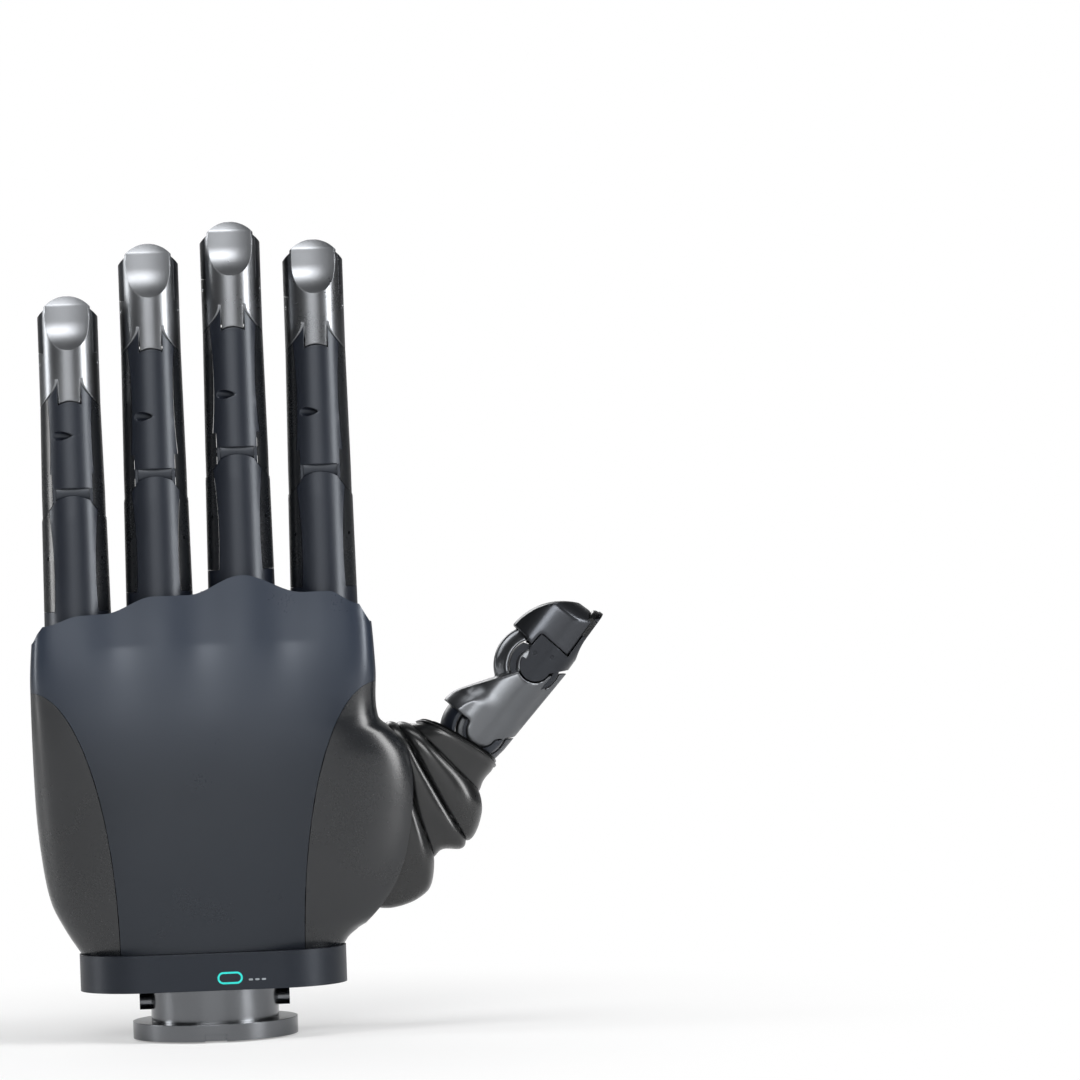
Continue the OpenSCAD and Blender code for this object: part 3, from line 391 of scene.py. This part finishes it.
PITCH = 21.7
FINGERS = ("little", "ring", "middle", "index")
FINGER_X = {f: (i - 1.5) * PITCH for i, f in enumerate(FINGERS)}
KNUCKLE_Z = {"little": 101.4, "ring": 105.8, "middle": 110.9, "index": 105.6}
THUMB = (73.0, 5.0, 77.6)
HALF_W, BACK, FRONT, MOUND = 45.6, 16.0, 18.5, 56.0 - 45.6
PALM_Z = 22.7
SIDE_Z = (KNUCKLE_Z["little"] + KNUCKLE_Z["index"]) / 2
PALM_TOP = 110.9 + 12.5
PANEL_TOP = SIDE_Z - 11.3
PANEL_X = 24.2
SPLIT_Y = 4.0
RIM_Y = -6.8
RIPPLE = 0.9
EDGE_RISE = 10.7
SEAM = 0.09
SHELL_WALL, SHELL_RIM = 1.4, 0.35
# Where the boot comes out of the palm: its inner side in x, and the heights where its opening ends
BOOT_SIDE_X = 39.3
BOOT_TOP = (79.5, 82.5)
PALM_EDGE_DROP = 12.6

LEFT = [(PALM_Z, -11), (PALM_Z + 6, -7.2), (PALM_Z + 14, -3.4), (PALM_Z + 27, -1.2), (PALM_Z + 41, -0.2),
        (SIDE_Z - 10, 0), (SIDE_Z + 2, -0.8), (SIDE_Z + 8, -1.6), (PALM_TOP, -2.4)]
RIGHT = [(PALM_Z, -11), (PALM_Z + 3, MOUND - 19), (PALM_Z + 8, MOUND - 11), (PALM_Z + 20, MOUND - 3),
         (PALM_Z + 37, MOUND), (THUMB[2] - 5, MOUND - 1.6), (THUMB[2] + 1.2, MOUND - 6), (THUMB[2] + 5, 0.2),
         (SIDE_Z - 8, -0.2), (SIDE_Z + 3, -0.8), (SIDE_Z + 9, -1.4), (PALM_TOP, -2.2)]
BACK_DEPTH = [(PALM_Z, -1), (PALM_Z + 25, 0), (PALM_Z + 50, -0.2), (SIDE_Z - 9, -1.2), (SIDE_Z + 8, -2),
              (PALM_TOP, -2.3)]
FRONT_DEPTH = [(PALM_Z, -2.4), (PALM_Z + 22, -0.4), (PALM_Z + 46, 0), (PALM_Z + 66, -1.2), (PALM_TOP, -5)]
SQUARE = [(PALM_Z, 2.6), (PALM_Z + 40, 2.8), (SIDE_Z - 16, 4.8), (SIDE_Z, 8), (PALM_TOP, 9)]


def knuckle_edge(x):
    """Height of the dorsal cover's scalloped upper edge at x."""
    k, lx, ix = KNUCKLE_Z, FINGER_X["little"], FINGER_X["index"]
    return steps([
        (lx - 12.5, k["little"] + EDGE_RISE - 7.2), (lx - 9, k["little"] + EDGE_RISE - 2.6),
        (lx + 1, k["little"] + EDGE_RISE), (lx + 7, k["little"] + EDGE_RISE + 0.2),
        (FINGER_X["ring"] - 1.5, k["ring"] + EDGE_RISE), (FINGER_X["ring"] + 7.5, k["ring"] + EDGE_RISE),
        (FINGER_X["middle"], k["middle"] + EDGE_RISE - 0.3), (ix - 6, k["index"] + EDGE_RISE),
        (ix + 1, k["index"] + EDGE_RISE), (ix + 8.4, k["index"] + EDGE_RISE - 3.4),
        (ix + 12, k["index"] + EDGE_RISE - 8.4)], x)


def ripple(x, z):
    """Depth of the valleys between the knuckles at x and height z."""
    fade = np.clip((z - SIDE_Z + 24) / 24, 0, 1)
    wave = RIPPLE * fade * fade * (1 - np.cos(2 * math.pi * (x / PITCH + 0.5))) / 2
    return np.where(np.abs(x) > 1.5 * PITCH, 0, wave)


def section(z, side, front=False, points=400):
    """Half of the palm's section at height z: from the middle of the back (or the front) round one side.
    side is -1 for the little finger's side. Returns x, y and arc length, in mm."""
    a = np.linspace(0, 1, points)
    s = np.concatenate([np.stack([a, -np.ones(points)], 1)[:-1], np.stack([np.ones(points), 2 * a - 1], 1)])
    n = float(curve(SQUARE, z))
    s = s / ((np.abs(s[:, :1])**n + np.abs(s[:, 1:])**n)**(1 / n))
    x = side * s[:, 0] * (HALF_W + float(curve(RIGHT if side > 0 else LEFT, z)))
    back = BACK + float(curve(BACK_DEPTH, z)) - ripple(x, z)
    deep = FRONT + float(curve(FRONT_DEPTH, z))
    y = np.where(s[:, 1] > 0, s[:, 1] * deep, s[:, 1] * back)
    if front:
        s = np.concatenate([np.stack([a, np.ones(points)], 1)[:-1],
                            np.stack([np.ones(points), 1 - 2 * a], 1)])
        s = s / ((np.abs(s[:, :1])**n + np.abs(s[:, 1:])**n)**(1 / n))
        x = side * s[:, 0] * (HALF_W + float(curve(RIGHT if side > 0 else LEFT, z)))
        y = np.where(s[:, 1] > 0, s[:, 1] * deep, s[:, 1] * (BACK + float(curve(BACK_DEPTH, z))))
    arc = np.concatenate([[0], np.cumsum(np.hypot(np.diff(x), np.diff(y)))])
    return x, y, arc


def seam_x(z):
    """Where the side panel's seam crosses the back at height z."""
    u = np.clip((z - PALM_Z) / (PANEL_TOP - PALM_Z), 0, 1)
    return HALF_W - (HALF_W - PANEL_X) * math.sqrt(max(0.0, 1 - u * u))


def panel_heights(count):
    """Heights up a side panel, closer together near its upper end."""
    return [PALM_Z + 0.1 + (PANEL_TOP - PALM_Z - 0.1) * math.sin(a)
            for a in np.radians(np.linspace(0, 90, count))]


def arc_at_x(x, arc, limit):
    """Arc length where a section first reaches limit sideways, or its widest place if it never does."""
    wide = np.abs(x)
    return arc[int(np.argmax(wide >= limit)) if np.any(wide >= limit) else int(np.argmax(wide))]


def arc_at_y(y, arc, limit):
    """Arc length where a section first reaches limit in y, or its end."""
    return arc[int(np.argmax(y >= limit))] if np.any(y >= limit) else arc[-1]


def dorsal_cover(m):
    """Down to the side panels' upper ends the cover wraps round the sides; below, its seams draw it in."""
    inner, outer = 32, 12
    share = {}
    for side in (-1, 1):
        x, y, arc = section(PANEL_TOP, side)
        share[side] = arc_at_x(x, arc, 0.985 * np.abs(x).max()) / arc_at_y(y, arc, SPLIT_Y)
    rows = []
    for z in panel_heights(46)[:-2]:
        row = []
        for side in (-1, 1):
            x, y, arc = section(z, side)
            end = min(arc_at_x(x, arc, seam_x(z)), share[side] * arc_at_y(y, arc, SPLIT_Y)) - SEAM
            at = np.concatenate([np.linspace(0, end - 0.01 * outer, inner + 1),
                                 end - 0.01 * np.arange(outer - 1, -1, -1)])
            row.append(np.stack([np.interp(at, arc, x), np.interp(at, arc, y), np.full(len(at), z)], 1))
        rows.append(np.concatenate([row[0][::-1][:-1], row[1]]))
    for t in np.linspace(0, 1, 34):
        row = []
        for side in (-1, 1):
            cut = share[side]
            places = np.concatenate([np.linspace(0, cut, inner + 1), np.linspace(cut, 1, outer + 1)[1:]])
            points = []
            x = 0.0
            for u in places:
                for _ in range(4):
                    z = PANEL_TOP + t * (float(knuckle_edge(x)) - PANEL_TOP)
                    sx, sy, arc = section(z, side, points=120)
                    at = u * arc_at_y(sy, arc, SPLIT_Y)
                    x = float(np.interp(at, arc, sx))
                points.append((x, float(np.interp(at, arc, sy)), z))
            row.append(np.array(points))
        rows.append(np.concatenate([row[0][::-1][:-1], row[1]]))
    rows = np.array(rows)
    piece = grid("back_cover", rows[:, ::-1] * MM)
    solid(piece, SHELL_WALL, SHELL_RIM)
    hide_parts("dorsal_cover")
    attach(piece, "palm")
    return paint(piece, m["cover_shell"])


def side_panel(m, side):
    """A panel from its seam on the back round the side, cut back on the thumb's side for the boot."""
    rows = []
    for z in panel_heights(60):
        x, y, arc = section(z, side)
        start = arc_at_x(x, arc, seam_x(z) + SEAM)
        end = arc_at_y(y, arc, SPLIT_Y)
        if side > 0:
            cut = float(smoothstep(z, PALM_Z + 2, PALM_Z + 7) - smoothstep(z, *BOOT_TOP))
            end += (arc_at_y(y, arc, RIM_Y) - end) * cut
        at = np.linspace(min(start, end - 0.4), end, 30)
        rows.append(np.stack([np.interp(at, arc, x), np.interp(at, arc, y), np.full(len(at), z)], 1))
    rows = np.array(rows)
    label = "left" if side < 0 else "right"
    piece = grid("side_cover_" + label, (rows if side < 0 else rows[:, ::-1]) * MM)
    solid(piece, SHELL_WALL, SHELL_RIM)
    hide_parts("side_panel_" + label)
    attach(piece, "palm")
    return paint(piece, m["grey_panel"])


def palm_height(t, x):
    """Height of the palm cover's row t, 0 to 1, at x: its upper edge follows the knuckle edge."""
    return PALM_Z + 0.1 + t * (float(knuckle_edge(x)) - EDGE_RISE - PALM_EDGE_DROP - PALM_Z)


def palm_cover(m):
    """Each row's end is found first, since its height and its end depend on each other."""
    rows = []
    cols = 60
    for t in np.linspace(0, 1, 56):
        row = []
        for side in (-1, 1):
            part = []
            edge_x = HALF_W * side
            for _ in range(16):
                z = palm_height(t, edge_x)
                sx, sy, arc = section(z, side, True, 100)
                end = arc_at_y(-sy, arc, -SPLIT_Y - SEAM * 2)
                if side > 0:
                    cut = float(smoothstep(z, PALM_Z + 2, PALM_Z + 6))
                    end += (min(arc_at_x(sx, arc, BOOT_SIDE_X), end) - end) * cut
                edge_x += (float(np.interp(end, arc, sx)) - edge_x) * 0.35
            for u in np.linspace(0, 1, cols // 2 + 1):
                x = u * edge_x
                for _ in range(3):
                    z = palm_height(t, x)
                    sx, sy, arc = section(z, side, True, 100)
                    at = u * end
                    x = float(np.interp(at, arc, sx))
                part.append((x, float(np.interp(at, arc, sy)), z))
            row.append(np.array(part))
        rows.append(np.concatenate([row[0][::-1][:-1], row[1]]))
    piece = grid("palm_face", np.array(rows) * MM)
    solid(piece, SHELL_WALL, SHELL_RIM)
    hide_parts("palm_cover")
    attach(piece, "palm")
    return paint(piece, m["grey_panel"])


# ---- Thumb boot ----

# Rings along the boot: x and z of its upper and of its lower edge, then its back and front in y
BOOT = [
    (38.4, 80.4, 38.4, 32.5, -5.4, 12.6), (43.5, 80.6, 48.5, 31.4, -5.7, 14),
    (46.5, 80.8, 57.5, 35.5, -6.2, 16), (48.5, 80.9, 61.3, 45.8, -5.6, 15.4),
    (50.5, 80.8, 68.6, 46.6, -6.1, 16.5), (52.8, 80.6, 72.6, 55.5, -6.3, 17),
    (54.8, 80.2, 73.2, 63.5, -5.8, 16.4), (56, 79.9, 75.6, 66.8, -6.4, 17),
    (56.6, 80.6, 76, 68.2, -6.2, 16.8)]
BOOT_BOW, BOOT_LEAN, BOOT_SQUARE = 2.2, 41.5, 0.72
BOOT_WALL, BOOT_RIM = 1.1, 0.3
# Creases between the folds: place along the boot and depth in mm; the skin bulges round from one to the next
CREASES = ((1.5, 0.1), (2.55, 2.2), (3.95, 2.3), (5.45, 1.9), (7.45, 0.5), (8.4, 0))


def fold_depth(t, a):
    """How far the skin is pulled in at place t and angle a; creases fan out from the boot's inner end."""
    spot, deep = np.array(CREASES).T
    place = np.clip(t + 0.16 * np.sin(a) - 0.1 * np.cos(2 * a), spot[0], spot[-1] - 0.001)
    k = np.searchsorted(spot, place, side="right") - 1
    part = (place - spot[k]) / (spot[k + 1] - spot[k])
    puff = 1 - np.sqrt(1 - 0.985 * (2 * part - 1)**2)
    fan = 0.3 + 0.7 * smoothstep(np.cos(a), -1, -0.1)
    lip = 0.6 * np.exp(-((t - 7.6) / 0.25)**2)
    return (deep[k] * (1 - part) + deep[k + 1] * part) * puff * fan * smoothstep(-t, -8, -7.3) - lip


def boot_ring(t, count):
    """The boot's outline at place t: a rounded box whose collar end bows out on its back."""
    i = np.arange(len(BOOT))
    ax, az, bx, bz, back, front = [float(curve(np.stack([i, np.array(BOOT)[:, k]], 1), t)) for k in range(6)]
    a = np.linspace(0, 2 * math.pi, count, endpoint=False)
    c = np.sign(np.cos(a)) * np.abs(np.cos(a))**BOOT_SQUARE
    s = np.sign(np.sin(a)) * np.abs(np.sin(a))**BOOT_SQUARE
    chord = math.hypot(bx - ax, bz - az)
    dip = fold_depth(t, a)
    half = 0.5 - dip / chord
    deep = (front - back) / 2 - dip
    bow = BOOT_BOW * float(smoothstep(t, 5, 7.6)) * np.clip(-s, 0, 1)
    lean = math.radians(BOOT_LEAN)
    return np.stack([(ax + bx) / 2 + (bx - ax) * half * c + bow * math.sin(lean),
                     (back + front) / 2 + deep * s,
                     (az + bz) / 2 + (bz - az) * half * c + bow * math.cos(lean)], 1)


def thumb_boot(m):
    """The folded rubber boot; it turns smoothly from the palm to the thumb's base."""
    rings = [boot_ring(t, 120) for t in np.linspace(0, len(BOOT) - 1, 260)]
    piece = grid("thumb_gaiter", np.array(rings) * MM, closed=True)
    solid(piece, BOOT_WALL, BOOT_RIM)
    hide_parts("thumb_boot")
    paint(piece, m["boot_rubber"])
    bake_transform(piece)
    return piece


# ---- Fingertips ----

TIP_R, TIP_LEN, NAIL_LEN, NAIL_DEPTH, SCOOP_R, NAIL_END_R = 7.9, 21.9, 14.3, 2.4, 14.0, 8.0
MIDDLE_LEN = {"little": 29.8, "ring": 38.5, "middle": 38.5, "index": 38.5}
PROXIMAL_LEN = 43.0
FINGER_BACK = 2.0
NAIL_CROWN, NAIL_HALF_W, NAIL_LIFT = 0.55, 5.7, 0.015


def nail_floor(z):
    """Depth of the nail's bed at height z above the end joint: a round scoop, then level."""
    run = math.sqrt(SCOOP_R**2 - (SCOOP_R - NAIL_DEPTH)**2)
    low = TIP_LEN - NAIL_LEN
    over = np.clip(low + run - z, 0, run)
    return NAIL_DEPTH - TIP_R - SCOOP_R + np.sqrt(SCOOP_R**2 - over**2)


def nail(name, body, mats, place):
    """A crowned nail on the flat of the fingertip."""
    low = TIP_LEN - NAIL_LEN
    rows = []
    for v in np.linspace(0, math.pi, 60):
        z = low + 0.1 + (NAIL_LEN - 0.2) * (1 - math.cos(v)) / 2
        floor = float(nail_floor(z))
        half = math.sqrt(max(0.0, TIP_R**2 - floor**2))
        if z > TIP_LEN - NAIL_END_R:
            half = min(half, math.sqrt(max(0.0, NAIL_END_R**2 - (z - TIP_LEN + NAIL_END_R)**2)))
        half = max(half - 0.05, 0.01)
        s = np.linspace(-1, 1, 33)
        crown = NAIL_CROWN * (half / NAIL_HALF_W)**2
        rows.append(np.stack([half * s, floor - NAIL_LIFT - crown * (1 - s**2), np.full(33, z)], 1))
    piece = grid(name, (np.array(rows) + np.array(place)) * MM)
    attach(piece, body)
    return paint(piece, mats["nail_metal"])


def nails(mats):
    for f in FINGERS:
        z = KNUCKLE_Z[f] + PROXIMAL_LEN + MIDDLE_LEN[f]
        nail(f + "_nail", f + "_tip", mats, (FINGER_X[f], -FINGER_BACK, z))


# ---- Marks on the cuff: a ring and ticks, no lettering ----

def face_of(node, x, z):
    """Where the node's back face lies at x and z, in metres."""
    hit, place, _, _ = node.ray_cast(Vector((x * MM, -0.2, z * MM)), Vector((0, 1, 0)))
    return place.y if hit else -0.02


def flat_shape(name, outline, hole, node, mats, key):
    """A thin printed shape standing 0.05 mm off the node's back face."""
    rings = []
    for ring in (outline, hole):
        rings.append([(x * MM, face_of(node, x, z) - 0.00005, z * MM) for x, z in ring])
    piece = grid(name, np.array(rings), closed=True)
    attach(piece, "palm")
    return paint(piece, mats[key])


def pill(x, z, width, height, count=48):
    """A rounded outline round a centre."""
    r = height / 2
    points = []
    for a in np.linspace(0, 2 * math.pi, count, endpoint=False):
        shift = (width / 2 - r) * (1 if math.cos(a) > 0 else -1)
        points.append((x + shift + r * math.cos(a), z + r * math.sin(a)))
    return points


RING_X, MARK_Z, TICK_X, TICK_STEP, TICK_DROP = 4.2, 16.2, 9.6, 1.7, 0.6


def cuff_marks(mats):
    cuff = frame["nodes"]["wrist_cuff"]
    flat_shape("cuff_ring", pill(RING_X, MARK_Z, 6.6, 3.2), pill(RING_X, MARK_Z, 5.6, 2.2), cuff, mats,
               "accent_teal")
    for k in range(3):
        x, z = TICK_X + TICK_STEP * k, MARK_Z - TICK_DROP
        flat_shape("cuff_tick_%d" % k, pill(x, z, 1.1, 0.5), pill(x, z, 0.7, 0.02), cuff, mats,
                   "accent_pale")


# ---- Thumb skins ----

# Direction of the thumb in x and z, half its width, and the voxel of its remesh
THUMB_ALONG, THUMB_HALF_W, SKIN_VOXEL = (14.91, 16.85), 9, 0.36


def moulded(m, node, body, name, finish, middle, crown):
    """A CAD thumb piece as it is moulded: the same solid with rounded edges and a back crowned across.
    middle is a point on the piece's centre line in x and z. crown is the crown's depth at its lower and at
    its upper end, then the places along the thumb between which one turns into the other."""
    piece = bpy.data.objects.new(name, frame["nodes"][node].data.copy())
    bpy.context.collection.objects.link(piece)
    even = piece.modifiers.new("even", "REMESH")
    even.mode, even.voxel_size, even.use_smooth_shade = "VOXEL", SKIN_VOXEL * MM, True
    soft = piece.modifiers.new("soft", "SMOOTH")
    soft.factor, soft.iterations = 0.5, 9
    shaped = bpy.data.meshes.new_from_object(piece.evaluated_get(bpy.context.evaluated_depsgraph_get()))
    piece.modifiers.clear()
    piece.data = shaped
    spots = np.empty(len(shaped.vertices) * 3)
    shaped.vertices.foreach_get("co", spots)
    spots = spots.reshape(-1, 3)
    unit = np.array(THUMB_ALONG) / math.hypot(*THUMB_ALONG)
    x, z = spots[:, 0] / MM - middle[0], spots[:, 2] / MM - middle[1]
    across, up = (z * unit[0] - x * unit[1]) / THUMB_HALF_W, x * unit[0] + z * unit[1]
    deep = crown[0] + (crown[1] - crown[0]) * smoothstep(up, crown[2], crown[3])
    spots[:, 1] += MM * deep * np.clip(across**2, 0, 1) * smoothstep(-spots[:, 1] / MM, -4, 0.5)
    shaped.vertices.foreach_set("co", spots.ravel())
    shaped.update()
    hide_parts(node)
    paint(piece, m[finish])
    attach(piece, body)
    return piece


def thumb_skins(m):
    moulded(m, "thumb_proximal_shell", "thumb_proximal", "thumb_sleeve_skin", "thumb_shell",
            (73.8, 78.2), (0.4, 2.6, 4, 9))
    moulded(m, "thumb_pulp_pad", "thumb_tip", "thumb_tip_skin", "thumb_dome", (92, 101), (1.2, 1.2, 0, 1))


def main():
    make_camera()
    make_light()
    make_stage()
    mats = make_materials()
    dress_nodes(mats)
    dorsal_cover(mats)
    side_panel(mats, -1)
    side_panel(mats, 1)
    palm_cover(mats)
    thumb_boot(mats)
    thumb_skins(mats)
    nails(mats)
    cuff_marks(mats)
    bpy.context.scene.view_settings.view_transform = "Standard"


main()
